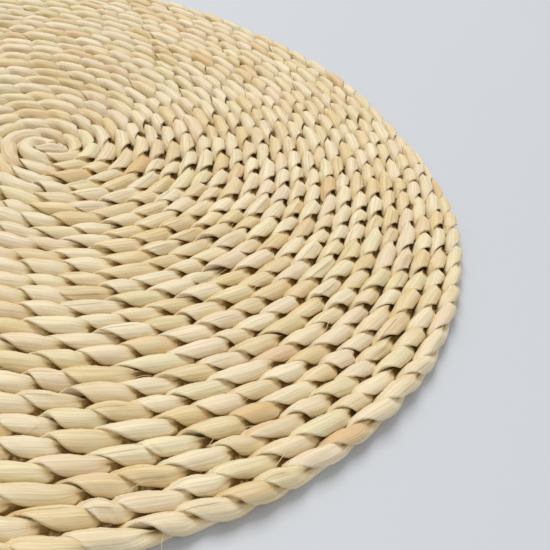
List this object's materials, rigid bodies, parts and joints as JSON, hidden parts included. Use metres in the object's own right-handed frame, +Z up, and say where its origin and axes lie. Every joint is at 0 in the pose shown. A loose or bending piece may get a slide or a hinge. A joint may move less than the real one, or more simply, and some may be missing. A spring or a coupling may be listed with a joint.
{
  "type": "round woven placemat",
  "caption": "Flat round placemat: a two-strand twist of pale dried husk wound as one tight spiral, with raised rows on both faces, laid on a table under a plate.",
  "frame": {"origin": "centre of the mat's box, on the plane that its underside rests on", "axes": "+Z up out of the face, +X to the right in the picture, +Y away from the viewer"},
  "size_m": [0.3826, 0.379, 0.0085],
  "materials": {
    "husk": "dry natural husk, satin, straw coloured"
  },
  "bodies": {
    "root": {"woven_mat": "husk"}
  },
  "joints": []
}
